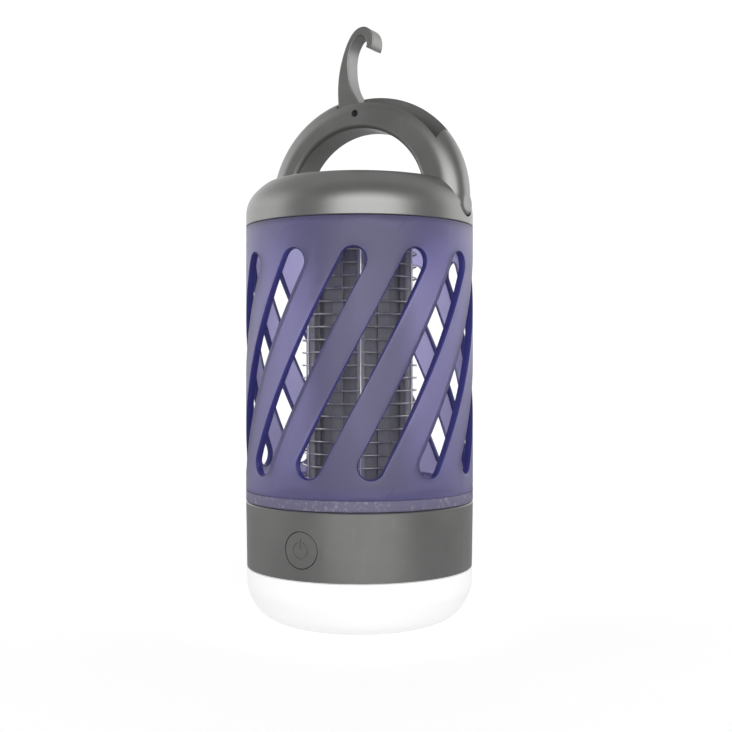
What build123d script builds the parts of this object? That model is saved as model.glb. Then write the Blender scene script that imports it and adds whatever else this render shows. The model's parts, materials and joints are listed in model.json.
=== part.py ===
from build123d import *
import os
from math import cos, degrees, pi, radians, sin, tan

# Rechargeable bug zapper lantern, in millimetres.
# Origin: centre of the diffuser's flat foot. +Z up, front (button) towards -Y,
# handle legs at +X and -X, hook mouth towards +X.

# ---- driving dimensions ----
BODY_R = 44.0          # outside radius of cap, cage and top of the base
FOOT_R = 43.6          # base radius where it meets the diffuser
Z_DIFF = 21.2          # top of the visible diffuser
Z_BASE = 46.35         # top of the base housing
Z_TRAY = 46.65         # underside of the catch tray's rim
Z_BAND = 50.7          # top of the catch tray's rim, foot of the cage
Z_SEAM = 151.7         # cage to cap seam
Z_CAP = 169.6          # top of the cap
SEAM = 0.15            # half of each visible seam
WALL = 2.6             # cage wall
BASE_WALL = 2.4
BOSS_AT = 35.5         # deck screws, from the axis
CAP_WALL = 2.4
CAP_BOSS_AT = 35.0     # cap screws, from the axis

SLOT_N = 12            # slanted slots round the cage
SLOT_W = 9.4
SLOT_Z0, SLOT_Z1 = 58.0, 140.5
SLOT_LEAN = 28.5       # degrees from upright
SLOT_RISE = SLOT_Z1 - SLOT_Z0 - SLOT_W   # between the centres of the round ends

BUTTON_R = 6.5
BUTTON_Z = 32.5
BUTTON_GAP = 0.3

PORT_Z = 32.5          # charging inlet, at the back
FLAP_W, FLAP_H = 15.0, 9.0

GRID_R = 22.0          # wire rings
WIRE_R = 0.3
RING_N = 19
RING_PITCH = 4.8
RING_Z0 = 55.4
POST_R = 1.6
POST_AT = 20.9
CORE_R = 21.0
CORE_BORE = 17.6
FEEDER_AT = GRID_R - 1.5
GRID_FOOT_Z = 46.6
GRID_Z0, GRID_Z1 = 52.0, 145.0

HANDLE_Y = 4.35        # mid plane of the arch
HANDLE_W = 16.3
ARCH_X, ARCH_R, ARCH_RV = 1.4, 42.6, 41.0   # outside: middle, half width and rise
GRIP_X, GRIP_R, GRIP_RV = -0.3, 29.1, 27.8  # the same for the finger opening
ARCH_Z = 162.7                 # centre of both ellipses and of the rounded leg ends
ARCH_EDGE = 7.5
GRIP_EDGE = 2.0
TONGUE_R = HANDLE_W / 2
PIVOT_X, PIVOT_Z = -0.1, 196.1
HOOK_Y = 1.7           # mid plane of the hook and its groove
HOOK_W = 8.0
GROOVE_W = 8.6
HOOK_REACH = 36.4      # the groove's reach from the hook's pin
GROOVE_END = 0.596     # slope of the groove's end face, which points at the arch's centre
ROOT_R = 3.0           # eye of the hook
HOOK_EDGE = 0.4
PIN_R = 1.0

CELL_R, CELL_L = 9.3, 65.0
CELL_Y, CELL_Z = 7.0, 35.0

os.makedirs("parts", exist_ok=True)


def save(shape, name):
    """Label a finished part and write its STEP file."""
    shape.label = name
    export_step(shape, "parts/" + name + ".step")


def at(x, y, z):
    """Plane parallel to XY through a point."""
    return Plane(origin=(x, y, z), x_dir=(1, 0, 0), z_dir=(0, 0, 1))


def facing_y(y, z=0.0, x=0.0):
    """Plane whose normal is +Y, with local x along -X and local y along +Z."""
    return Plane(origin=(x, y, z), x_dir=(-1, 0, 0), z_dir=(0, 1, 0))


# ---- diffuser: translucent cup the lantern stands on ----
with BuildPart() as diffuser:
    with BuildSketch(Plane.XZ):
        with BuildLine():
            Polyline((0, 0), (26.4, 0))
            Spline((26.4, 0), (33.5, 1.4), (39.2, 5.2), (42.5, 11.0), (43.6, Z_DIFF - SEAM),
                   tangents=[(1, 0), (0, 1)])
            Polyline((43.6, Z_DIFF - SEAM), (41.0, Z_DIFF - SEAM), (41.0, 23.6), (39.0, 23.6))
            Spline((39.0, 23.6), (39.6, 11.6), (36.6, 6.8), (31.6, 3.4), (26.0, 2.2),
                   tangents=[(0.1, -1), (-1, -0.1)])
            Polyline((26.0, 2.2), (0, 2.2), (0, 0))
        make_face()
    revolve(axis=Axis.Z)
save(diffuser.part, "diffuser")

# ---- sealing ring between diffuser lip and base housing ----
with BuildPart() as base_gasket:
    with BuildSketch(at(0, 0, 22.0)):
        Circle(BODY_R - BASE_WALL - 0.02)
        Circle(41.02, mode=Mode.SUBTRACT)
    extrude(amount=1.2)
save(base_gasket.part, "base_gasket")

# ---- base housing ----
with BuildPart() as base_housing:
    with BuildSketch(Plane.XZ):
        with BuildLine():
            Polyline((BODY_R - BASE_WALL, Z_DIFF + SEAM), (FOOT_R - 0.25, Z_DIFF + SEAM),
                     (FOOT_R, Z_DIFF + SEAM + 0.25), (BODY_R, Z_BASE - 0.4),
                     (BODY_R - 0.4, Z_BASE), (BODY_R - BASE_WALL, Z_BASE),
                     (BODY_R - BASE_WALL, Z_DIFF + SEAM))
        make_face()
    revolve(axis=Axis.Z)
    # four screw bosses for the deck
    with BuildSketch(at(0, 0, 26.0)):
        with PolarLocations(BOSS_AT, 4, start_angle=45):
            Circle(3.4)
            with Locations((3.4, 0)):
                Rectangle(6.8, 4.0)
    extrude(amount=17.0)
    with BuildSketch(at(0, 0, 26.0)):
        with PolarLocations(BOSS_AT, 4, start_angle=45):
            Circle(1.25)
    extrude(amount=11.0, mode=Mode.SUBTRACT)
    # tube the button slides in
    with BuildSketch(facing_y(-BODY_R + 1.0, BUTTON_Z)):
        Circle(BUTTON_R + 2.2)
    extrude(amount=3.1)
    with BuildSketch(facing_y(-BODY_R - 1.0, BUTTON_Z)):
        Circle(BUTTON_R + BUTTON_GAP)
    extrude(amount=8.0, mode=Mode.SUBTRACT)
    # trim whatever the tube left outside the body
    with BuildSketch(at(0, 0, 18.0)):
        Circle(60.0)
        Circle(BODY_R, mode=Mode.SUBTRACT)
    extrude(amount=34.0, mode=Mode.SUBTRACT)
    # charging inlet: thick pad inside, flap recess outside, socket opening
    with BuildSketch(facing_y(38.2, PORT_Z)):
        Rectangle(FLAP_W + 6.0, FLAP_H + 4.2)
    extrude(amount=3.5)
    with BuildSketch(facing_y(41.5, PORT_Z)):
        RectangleRounded(FLAP_W + 0.8, FLAP_H + 0.8, 1.2)
    extrude(amount=4.0, mode=Mode.SUBTRACT)
    with BuildSketch(facing_y(36.0, PORT_Z + 0.6)):
        RectangleRounded(9.6, 3.9, 1.9)
    extrude(amount=8.0, mode=Mode.SUBTRACT)
save(base_housing.part, "base_housing")

# ---- deck closing the base from below; carries lamp board, battery and main board ----
with BuildPart() as base_deck:
    with BuildSketch(at(0, 0, 24.0)):
        Circle(41.2)
        with PolarLocations(BOSS_AT, 4, start_angle=45):
            Circle(1.6, mode=Mode.SUBTRACT)
        with Locations((0, -20)):
            Circle(2.5, mode=Mode.SUBTRACT)
        with Locations((0, -42)):
            Rectangle(21.0, 8.2, mode=Mode.SUBTRACT)
    extrude(amount=1.6)
save(base_deck.part, "base_deck")

# ---- lid over the base, under the catch tray ----
with BuildPart() as base_lid:
    with BuildSketch(at(0, 0, 44.7)):
        Circle(41.3)
        with Locations((8, 0), (-8, 0)):
            Circle(1.6, mode=Mode.SUBTRACT)
    extrude(amount=1.6)
save(base_lid.part, "base_lid")

# ---- lantern board and its lamps ----
with BuildPart() as lamp_board:
    with BuildSketch(at(0, 0, 19.6)):
        Circle(34.0)
        Circle(10.0, mode=Mode.SUBTRACT)
        with PolarLocations(31.0, 3, start_angle=0):
            Circle(1.6, mode=Mode.SUBTRACT)
    extrude(amount=1.6)
save(lamp_board.part, "lamp_board")

with BuildPart() as lamp_leds:
    with BuildSketch(at(0, 0, 18.9)):
        with PolarLocations(26.0, 12, start_angle=15):
            Rectangle(3.5, 2.8)
        with PolarLocations(15.0, 6):
            Rectangle(3.5, 2.8)
    extrude(amount=0.7)
save(lamp_leds.part, "lamp_leds")

with BuildPart() as lamp_standoffs:
    with BuildSketch(at(0, 0, 21.2)):
        with PolarLocations(31.0, 3, start_angle=0):
            Circle(2.6)
    extrude(amount=2.8)
    with BuildSketch(at(0, 0, 17.8)):
        with PolarLocations(31.0, 3, start_angle=0):
            Circle(2.4)
    extrude(amount=1.8)
    with BuildSketch(at(0, 0, 19.6)):
        with PolarLocations(31.0, 3, start_angle=0):
            Circle(1.5)
    extrude(amount=1.6)
save(lamp_standoffs.part, "lamp_standoffs")

# ---- deck screws: one shared piece for all four ----
with BuildPart() as deck_screws:
    with BuildSketch(at(0, 0, 22.4)):
        with PolarLocations(BOSS_AT, 4, start_angle=45):
            Circle(1.2)
    extrude(amount=12.0)
    with BuildSketch(at(0, 0, 21.9)):
        with PolarLocations(BOSS_AT, 4, start_angle=45):
            Circle(2.6)
    extrude(amount=2.1)
save(deck_screws.part, "deck_screws")

# ---- battery and its cradle ----
with BuildPart() as battery_cell:
    with BuildSketch(Plane(origin=(-CELL_L / 2, CELL_Y, CELL_Z), x_dir=(0, 1, 0), z_dir=(1, 0, 0))):
        Circle(CELL_R)
    extrude(amount=CELL_L - 1.0)
    chamfer(battery_cell.edges(), 0.5)
    with BuildSketch(Plane(origin=(CELL_L / 2 - 1.0, CELL_Y, CELL_Z), x_dir=(0, 1, 0),
                           z_dir=(1, 0, 0))):
        Circle(2.8)
    extrude(amount=1.0)
save(battery_cell.part, "battery_cell")

with BuildPart() as battery_cradle:
    with BuildSketch(at(0, CELL_Y, 25.6)):
        Rectangle(62.0, 15.0)
    extrude(amount=4.4)
    with BuildSketch(Plane(origin=(-32, CELL_Y, CELL_Z), x_dir=(0, 1, 0), z_dir=(1, 0, 0))):
        Circle(CELL_R + 0.05)
    extrude(amount=64.0, mode=Mode.SUBTRACT)
    with BuildSketch(at(0, CELL_Y, 25.6)):
        with Locations((-33.6, 0), (33.6, 0)):
            Rectangle(2.0, 15.0)
        with Locations((-32.0, 0), (32.0, 0)):
            with Locations((0, -6.5), (0, 6.5)):
                Rectangle(3.0, 2.0)
    extrude(amount=1.6)
    with BuildSketch(at(0, CELL_Y, 25.6)):
        with Locations((-33.6, 0), (33.6, 0)):
            Rectangle(2.0, 15.0)
    extrude(amount=14.0)
save(battery_cradle.part, "battery_cradle")

# ---- main board, its tall parts and the switch ----
with BuildPart() as main_board:
    with BuildSketch(at(0, -20.5, 27.0)):
        Rectangle(38.0, 25.0)
    extrude(amount=1.6)
    with BuildSketch(at(0, -20.5, 25.6)):
        with Locations((-16, -9), (16, -9), (-16, 9), (16, 9)):
            Circle(2.0)
    extrude(amount=1.4)
save(main_board.part, "main_board")

with BuildPart() as hv_transformer:
    with BuildSketch(at(-12, -18, 28.6)):
        Rectangle(13.0, 12.0)
    extrude(amount=2.0)
    with BuildSketch(at(-12, -18, 30.6)):
        Rectangle(9.0, 8.5)
    extrude(amount=6.5)
    with BuildSketch(at(-12, -18, 37.1)):
        Rectangle(13.0, 12.0)
    extrude(amount=1.8)
    fillet(hv_transformer.edges().filter_by(Axis.Z), 0.8)
save(hv_transformer.part, "hv_transformer")

with BuildPart() as hv_capacitor:
    with BuildSketch(at(12, -20, 28.6)):
        RectangleRounded(14.0, 7.0, 1.5)
    extrude(amount=11.0)
save(hv_capacitor.part, "hv_capacitor")

with BuildPart() as tact_switch:
    with BuildSketch(facing_y(-36.0, BUTTON_Z)):
        Rectangle(6.2, 6.2)
    extrude(amount=3.4)
    with BuildSketch(facing_y(-36.9, BUTTON_Z)):
        Circle(1.7)
    extrude(amount=0.9)
    with BuildSketch(at(0, -33.9, 28.6)):
        Rectangle(12.0, 2.6)
    extrude(amount=1.2)
    with BuildSketch(facing_y(-34.6, 33.0)):
        Rectangle(9.0, 8.8)
    extrude(amount=1.6)
save(tact_switch.part, "tact_switch")

# ---- push button with engraved power mark ----
with BuildPart() as power_button:
    with BuildSketch(facing_y(-BODY_R - 1.0, BUTTON_Z)):
        Circle(BUTTON_R)
    extrude(amount=5.6)
    with BuildSketch(at(0, 0, 20.0)):
        Circle(60.0)
        Circle(BODY_R - 0.32, mode=Mode.SUBTRACT)
    extrude(amount=26.0, mode=Mode.SUBTRACT)
    with BuildSketch(facing_y(-39.6, BUTTON_Z)):
        Circle(BUTTON_R + 1.3)
    extrude(amount=1.0)
    with BuildSketch(facing_y(-39.4, BUTTON_Z)):
        Circle(BUTTON_R)
    extrude(amount=-0.4)
    with BuildSketch(facing_y(-38.6, BUTTON_Z)):
        Circle(1.6)
    extrude(amount=0.8)
    # power mark: open ring with a bar across the gap
    with BuildSketch(facing_y(-BODY_R - 0.5, BUTTON_Z)):
        Circle(3.2)
        Circle(2.6, mode=Mode.SUBTRACT)
        with Locations((0, 3.0)):
            Rectangle(2.4, 2.6, mode=Mode.SUBTRACT)
        with Locations((0, 2.3)):
            Rectangle(0.6, 3.8)
    extrude(amount=1.15, mode=Mode.SUBTRACT)
save(power_button.part, "power_button")

# ---- charging socket and its cover flap ----
with BuildPart() as charge_socket:
    with BuildSketch(facing_y(34.4, PORT_Z + 0.6)):
        RectangleRounded(8.9, 3.2, 1.5)
    extrude(amount=6.4)
    with BuildSketch(facing_y(35.4, PORT_Z + 0.6)):
        RectangleRounded(8.3, 2.6, 1.25)
    extrude(amount=6.0, mode=Mode.SUBTRACT)
    with BuildSketch(facing_y(35.0, PORT_Z + 0.6)):
        Rectangle(6.6, 0.7)
    extrude(amount=5.0)
save(charge_socket.part, "charge_socket")

with BuildPart() as charge_board:
    with BuildSketch(at(0, 30.6, 29.7)):
        Rectangle(16.0, 13.0)
    extrude(amount=1.6)
    with BuildSketch(at(0, 30.6, 25.6)):
        with Locations((-6, 0), (6, 0)):
            Circle(1.8)
    extrude(amount=4.1)
save(charge_board.part, "charge_board")

FLAP_PIVOT_Y = 42.9
FLAP_PIVOT_Z = PORT_Z - FLAP_H / 2 + 0.8
with BuildPart() as port_flap:
    with BuildSketch(facing_y(41.8, PORT_Z)):
        RectangleRounded(FLAP_W, FLAP_H, 0.9)
    extrude(amount=3.0)
    with BuildSketch(at(0, 0, 20.0)):
        Circle(60.0)
        Circle(BODY_R - 0.35, mode=Mode.SUBTRACT)
    extrude(amount=26.0, mode=Mode.SUBTRACT)
    # round the hinge edge so that it can turn in its recess
    with BuildSketch(Plane(origin=(-20, FLAP_PIVOT_Y, FLAP_PIVOT_Z), x_dir=(0, 1, 0),
                           z_dir=(1, 0, 0))):
        with Locations((0, -1.5)):
            Rectangle(6.0, 3.0)
        Circle(0.8, mode=Mode.SUBTRACT)
    extrude(amount=40.0, mode=Mode.SUBTRACT)
save(port_flap.part, "port_flap")


# ---- killing grid ----
def ring_z(index):
    """Height of one wire ring."""
    return RING_Z0 + RING_PITCH * index


with BuildPart() as grid_foot:
    with BuildSketch(at(0, 0, GRID_FOOT_Z - 0.3)):
        Circle(24.2)
    extrude(amount=GRID_Z0 - GRID_FOOT_Z + 0.3)
    fillet(grid_foot.edges().group_by(Axis.Z)[-1], 1.0)
    with BuildSketch(at(0, 0, GRID_FOOT_Z - 1.0)):
        with Locations((8, 0), (-8, 0)):
            Circle(1.6)
    extrude(amount=8.0, mode=Mode.SUBTRACT)
save(grid_foot.part, "grid_foot")

with BuildPart() as one_post:
    with BuildSketch(at(POST_AT, 0, GRID_Z0)):
        Circle(POST_R)
    extrude(amount=GRID_Z1 - GRID_Z0)
    for i in range(RING_N):
        with BuildSketch(Plane(origin=(GRID_R, -3, ring_z(i)), x_dir=(1, 0, 0), z_dir=(0, 1, 0))):
            with Locations((0.4, 0)):
                Rectangle(1.6, 2 * WIRE_R + 0.1)
        extrude(amount=6.0, mode=Mode.SUBTRACT)
posts = [one_post.part.rotate(Axis.Z, 60 * k) for k in range(6)]
grid_posts = Compound(children=posts)
save(grid_posts, "grid_posts")


def wire_cage(first, comb_angle):
    """Every second ring from one index on, joined by an upright feeder behind them."""
    with BuildPart() as cage_wires:
        for i in range(first, RING_N, 2):
            with Locations(Pos(0, 0, ring_z(i))):
                Torus(GRID_R, WIRE_R)
            spot = Plane(origin=(FEEDER_AT * cos(comb_angle), FEEDER_AT * sin(comb_angle),
                                 ring_z(i)),
                         x_dir=(0, 0, 1), z_dir=(cos(comb_angle), sin(comb_angle), 0))
            with BuildSketch(spot):
                Circle(0.4)
            extrude(amount=1.5)
        foot = at(FEEDER_AT * cos(comb_angle), FEEDER_AT * sin(comb_angle), GRID_Z0)
        with BuildSketch(foot):
            Circle(0.5)
        extrude(amount=ring_z(RING_N - 1) - GRID_Z0 + 1.0)
    return cage_wires.part


live_grid = wire_cage(0, radians(30))
save(live_grid, "live_grid")
ground_grid = wire_cage(1, radians(210))
save(ground_grid, "ground_grid")

# fluted metal core inside the wires
with BuildPart() as grid_core:
    with BuildSketch(at(0, 0, GRID_Z0)):
        RegularPolygon(CORE_R, 12)
        with PolarLocations(CORE_R * cos(pi / 12) - 0.2, 12, start_angle=15):
            Rectangle(1.6, 2.4, mode=Mode.SUBTRACT)
        with PolarLocations(POST_AT, 6):
            Circle(POST_R + 0.05, mode=Mode.SUBTRACT)
        with PolarLocations(FEEDER_AT, 2, start_angle=30):
            Circle(1.3, mode=Mode.SUBTRACT)
        Circle(CORE_BORE, mode=Mode.SUBTRACT)
    extrude(amount=GRID_Z1 - GRID_Z0)
save(grid_core.part, "grid_core")

with BuildPart() as grid_head:
    with BuildSketch(at(0, 0, GRID_Z1)):
        Circle(24.2)
        Circle(12.0, mode=Mode.SUBTRACT)
    extrude(amount=2.2)
    fillet(grid_head.edges().group_by(Axis.Z)[0].sort_by(SortBy.LENGTH)[-1], 0.8)
save(grid_head.part, "grid_head")

with BuildPart() as uv_board:
    with BuildSketch(at(0, 0, GRID_Z1 - 2.4)):
        Circle(15.2)
        Circle(4.0, mode=Mode.SUBTRACT)
    extrude(amount=1.6)
    with BuildSketch(at(0, 0, GRID_Z1 - 0.8)):
        with PolarLocations(13.4, 3):
            Circle(1.5)
    extrude(amount=0.8)
save(uv_board.part, "uv_board")

with BuildPart() as uv_leds:
    with BuildSketch(at(0, 0, GRID_Z1 - 3.2)):
        with PolarLocations(10.5, 8, start_angle=22.5):
            Rectangle(3.0, 3.0)
    extrude(amount=0.8)
save(uv_leds.part, "uv_leds")

# ---- catch tray: rim seen as a pale band, floor under the grid ----
with BuildPart() as catch_tray:
    with BuildSketch(Plane.XZ):
        with BuildLine():
            Polyline((24.8, 46.9), (43.6, 46.9), (43.7, Z_TRAY), (BODY_R, Z_TRAY + 0.3),
                     (BODY_R, Z_BAND - SEAM), (41.2, Z_BAND - SEAM), (41.2, 48.7),
                     (26.8, 48.7), (26.8, 51.4), (24.8, 51.4), (24.8, 46.9))
        make_face()
    revolve(axis=Axis.Z)
    # rim that locates the cage
    with BuildSketch(at(0, 0, 48.7)):
        Circle(41.3)
        Circle(39.6, mode=Mode.SUBTRACT)
    extrude(amount=5.3)
save(catch_tray.part, "catch_tray")

# ---- slotted cage ----
with BuildPart() as slot_cutter:
    with BuildLine() as slot_path:
        Helix(pitch=2 * pi * BODY_R / tan(radians(SLOT_LEAN)), height=SLOT_RISE, radius=BODY_R)
    with BuildSketch(Plane(origin=slot_path.line @ 0, x_dir=(1, 0, 0), z_dir=slot_path.line % 0)):
        Rectangle(12.0, SLOT_W)
    sweep(path=slot_path.line, normal=Vector(0, 0, 1))
    for end in (0, 1):
        spot = slot_path.line @ end
        out = Vector(spot.X, spot.Y, 0)
        with BuildSketch(Plane(origin=spot - out * (6 / BODY_R), z_dir=out)):
            Circle(SLOT_W / 2)
        extrude(amount=12.0)
SLOT_TURN = degrees(SLOT_RISE * tan(radians(SLOT_LEAN)) / BODY_R)
front_slot = slot_cutter.part.moved(Pos(0, 0, SLOT_Z0 + SLOT_W / 2)).rotate(
    Axis.Z, -90 - SLOT_TURN / 2)
with BuildPart() as cage:
    with BuildSketch(at(0, 0, Z_BAND + SEAM)):
        Circle(BODY_R)
        Circle(BODY_R - WALL, mode=Mode.SUBTRACT)
    extrude(amount=Z_SEAM - Z_BAND - 2 * SEAM)
    # inward flange the cap is screwed to
    with BuildSketch(at(0, 0, Z_SEAM - SEAM - 1.6)):
        Circle(BODY_R - WALL + 0.3)
        Circle(32.0, mode=Mode.SUBTRACT)
        with PolarLocations(CAP_BOSS_AT, 4, start_angle=45):
            Circle(1.6, mode=Mode.SUBTRACT)
    extrude(amount=1.6)
    for k in range(SLOT_N):
        add(front_slot.rotate(Axis.Z, k * 360 / SLOT_N), mode=Mode.SUBTRACT)
save(cage.part, "cage")

# ---- cap ----
CAP_FOOT = Z_SEAM + SEAM
SHOULDER_X, SHOULDER_Z = 13.0, 13.4
SHOULDER_FOOT = 155.8


def tongue(extra):
    """Outline of a handle leg's rounded end, on the current sketch."""
    Circle(TONGUE_R + extra)
    with Locations((0, 15)):
        Rectangle(2 * (TONGUE_R + extra), 30)


def leg_plane(x):
    """Plane across a handle leg, local x along +Y and local y along +Z."""
    return Plane(origin=(x, HANDLE_Y, ARCH_Z), x_dir=(0, 1, 0), z_dir=(1, 0, 0))


def dome(inset, foot):
    """Half section of the cap's outside, moved inwards."""
    r = BODY_R - inset
    edge = r - SHOULDER_X
    rise = SHOULDER_Z - inset
    with BuildLine() as outline:
        Polyline((0, foot), (r, foot), (r, SHOULDER_FOOT))
        Spline((r, SHOULDER_FOOT), (edge + SHOULDER_X * 0.866, SHOULDER_FOOT + rise * 0.5),
               (edge + SHOULDER_X * 0.5, SHOULDER_FOOT + rise * 0.866),
               (edge, SHOULDER_FOOT + rise), tangents=[(0, 1), (-1, 0)])
        Spline((edge, SHOULDER_FOOT + rise), (0, Z_CAP - inset), tangents=[(-1, 0), (-1, 0)])
        Line((0, Z_CAP - inset), (0, foot))
    make_face(outline.edges())


with BuildPart() as cap_cavity:
    with BuildSketch(Plane.XZ):
        dome(CAP_WALL, CAP_FOOT - 1)
    revolve(axis=Axis.Z)
    for x in (-46.0, 27.0):
        with BuildSketch(leg_plane(x)):
            tongue(2.6)
        extrude(amount=19.0, mode=Mode.SUBTRACT)
    with BuildSketch(at(0, 0, CAP_FOOT + 1.2)):
        with PolarLocations(CAP_BOSS_AT, 4, start_angle=45):
            Circle(3.2)
    extrude(amount=18.0, mode=Mode.SUBTRACT)
with BuildPart() as cap:
    with BuildSketch(Plane.XZ):
        dome(0, CAP_FOOT)
    revolve(axis=Axis.Z)
    add(cap_cavity.part, mode=Mode.SUBTRACT)
    for x in (-50.0, GRIP_R - 1.0):
        with BuildSketch(leg_plane(x)):
            tongue(0.15)
        extrude(amount=51.0 - GRIP_R, mode=Mode.SUBTRACT)
    # floors of the leg pockets stay clear of the plate below
    with BuildSketch(at(0, 0, CAP_FOOT - 1)):
        Circle(BODY_R - CAP_WALL)
    extrude(amount=2.2, mode=Mode.SUBTRACT)
    with BuildSketch(at(0, 0, CAP_FOOT)):
        with PolarLocations(CAP_BOSS_AT, 4, start_angle=45):
            Circle(1.25)
    extrude(amount=10.0, mode=Mode.SUBTRACT)
    with BuildSketch(leg_plane(-32.0)):
        Circle(1.6)
    extrude(amount=64.0, mode=Mode.SUBTRACT)
    edge_ring = cap.edges().filter_by(GeomType.CIRCLE).group_by(Axis.Z)[0].sort_by(SortBy.RADIUS)
    chamfer(edge_ring[-1], 0.3)
save(cap.part, "cap")

with BuildPart() as cap_plate:
    with BuildSketch(at(0, 0, Z_SEAM - SEAM)):
        Circle(BODY_R - CAP_WALL - 0.3)
        with PolarLocations(CAP_BOSS_AT, 4, start_angle=45):
            Circle(1.6, mode=Mode.SUBTRACT)
    extrude(amount=1.3)
save(cap_plate.part, "cap_plate")

with BuildPart() as cap_screws:
    with BuildSketch(at(0, 0, Z_SEAM - SEAM - 3.4)):
        with PolarLocations(CAP_BOSS_AT, 4, start_angle=45):
            Circle(2.6)
    extrude(amount=1.8)
    with BuildSketch(at(0, 0, Z_SEAM - SEAM - 1.6)):
        with PolarLocations(CAP_BOSS_AT, 4, start_angle=45):
            Circle(1.2)
    extrude(amount=11.0)
save(cap_screws.part, "cap_screws")


# ---- carrying handle ----
def front(y):
    """Plane facing the front, local x along +X and local y along +Z."""
    return Plane(origin=(0, y, 0), x_dir=(1, 0, 0), z_dir=(0, -1, 0))


with BuildPart() as handle:
    with BuildSketch(front(HANDLE_Y + HANDLE_W / 2)):
        with Locations((ARCH_X, ARCH_Z)):
            Ellipse(ARCH_R, ARCH_RV)
        with Locations((ARCH_X, ARCH_Z - 7)):
            Rectangle(2 * ARCH_R, 14)
        with Locations((0, ARCH_Z - 30)):
            Rectangle(200, 40, mode=Mode.SUBTRACT)
        with Locations((GRIP_X, ARCH_Z)):
            Ellipse(GRIP_R, GRIP_RV, mode=Mode.SUBTRACT)
        with Locations((GRIP_X, ARCH_Z - 10)):
            Rectangle(2 * GRIP_R, 20, mode=Mode.SUBTRACT)
    extrude(amount=HANDLE_W)
    with BuildSketch(leg_plane(-60)):
        with Locations((0, -10)):
            Rectangle(40, 20)
        Circle(TONGUE_R, mode=Mode.SUBTRACT)
        with Locations((0, 10)):
            Rectangle(40, 20, mode=Mode.SUBTRACT)
    extrude(amount=120, mode=Mode.SUBTRACT)
    rims = handle.edges().filter_by(lambda e: e.length > 20)
    outer = rims.filter_by(lambda e: e.center().Z > ARCH_Z + GRIP_RV + 6
                           or abs(e.center().X - ARCH_X) > ARCH_R - 0.1)
    fillet(outer, ARCH_EDGE)
    inner = handle.edges().filter_by(lambda e: e.length > 20).filter_by(
        lambda e: abs(e.center().Z - ARCH_Z - GRIP_RV) < 0.5
        or abs(e.center().X - GRIP_X) < GRIP_R + 0.1)
    fillet(inner, GRIP_EDGE)
    # groove the folded hook lies in, and the seat of its heel
    with BuildSketch(front(HOOK_Y + GROOVE_W / 2)):
        with Locations((PIVOT_X, PIVOT_Z)):
            Circle(HOOK_REACH)
        with Locations((0, ARCH_Z)):
            Circle(29.6, mode=Mode.SUBTRACT)
        with Locations((PIVOT_X - 30, PIVOT_Z)):
            Rectangle(60, 90, mode=Mode.SUBTRACT)
        with BuildLine():
            Polyline((0, ARCH_Z), (60, ARCH_Z + 60 * GROOVE_END), (60, 120), (0, 120),
                     (0, ARCH_Z))
        make_face(mode=Mode.SUBTRACT)
    extrude(amount=GROOVE_W, mode=Mode.SUBTRACT)
    with BuildSketch(front(HOOK_Y + GROOVE_W / 2)):
        with BuildLine():
            Polyline((-9.0, 199.2), (-3.7, 194.7), (PIVOT_X, 192.6), (PIVOT_X + 2, 192.3),
                     (PIVOT_X + 2, 212), (-9.0, 212), (-9.0, 199.2))
        make_face()
    extrude(amount=GROOVE_W, mode=Mode.SUBTRACT)
    with BuildSketch(front(HANDLE_Y + HANDLE_W / 2 - 3)):
        with Locations((PIVOT_X, PIVOT_Z)):
            Circle(PIN_R)
    extrude(amount=HANDLE_W, mode=Mode.SUBTRACT)
    with BuildSketch(leg_plane(-38.0)):
        Circle(1.25)
    extrude(amount=76.0, mode=Mode.SUBTRACT)
save(handle.part, "handle")

with BuildPart() as handle_screws:
    for side in (-1, 1):
        into = Plane(origin=(side * 25.2, HANDLE_Y, ARCH_Z), x_dir=(0, 1, 0), z_dir=(side, 0, 0))
        with BuildSketch(into):
            Circle(2.6)
        extrude(amount=1.8)
        with BuildSketch(into):
            Circle(1.2)
        extrude(amount=12.0)
save(handle_screws.part, "handle_screws")

with BuildPart() as hook_pin:
    with BuildSketch(front(HANDLE_Y + HANDLE_W / 2 - 3.2)):
        with Locations((PIVOT_X, PIVOT_Z)):
            Circle(PIN_R)
    extrude(amount=HANDLE_W - 4.1)
save(hook_pin.part, "hook_pin")

# ---- folding hook: its back continues the arch when folded ----
with BuildPart() as hook:
    with BuildSketch(front(HOOK_Y + HOOK_W / 2)):
        with BuildLine():
            Spline((-8.3, 199.8), (-8.6, 206.1), (-8.1, 212.1), (-7.0, 217.1), (-5.3, 222.1),
                   (-3.1, 226.3), (-0.1, 229.2), (3.3, 229.7), (6.1, 227.7), (7.2, 224.1),
                   (6.4, 220.6))
            Line((6.4, 220.6), (3.9, 221.7))
            Spline((3.9, 221.7), (4.0, 224.2), (2.5, 226.3), (0.1, 226.2), (-1.9, 224.1),
                   (-3.4, 220.5), (-3.9, 216.1), (-3.4, 210.1), (-1.6, 204.7), (1.4, 199.9),
                   (PIVOT_X + ROOT_R, PIVOT_Z))
            ThreePointArc((PIVOT_X + ROOT_R, PIVOT_Z), (PIVOT_X, PIVOT_Z - ROOT_R),
                          (PIVOT_X - 0.78 * ROOT_R, PIVOT_Z - 0.626 * ROOT_R))
            Line((PIVOT_X - 0.78 * ROOT_R, PIVOT_Z - 0.626 * ROOT_R), (-8.3, 199.8))
        make_face()
    extrude(amount=HOOK_W)
    rims = hook.edges().filter_by(lambda e: abs(abs(e.center().Y - HOOK_Y) - HOOK_W / 2) < 0.01)
    fillet(rims.filter_by(lambda e: e.center().Z > PIVOT_Z + 4), HOOK_EDGE)
    with BuildSketch(front(HOOK_Y + HOOK_W / 2 + 1)):
        with Locations((PIVOT_X, PIVOT_Z)):
            Circle(PIN_R + 0.06)
    extrude(amount=HOOK_W + 2, mode=Mode.SUBTRACT)
save(hook.part, "hook")


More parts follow.
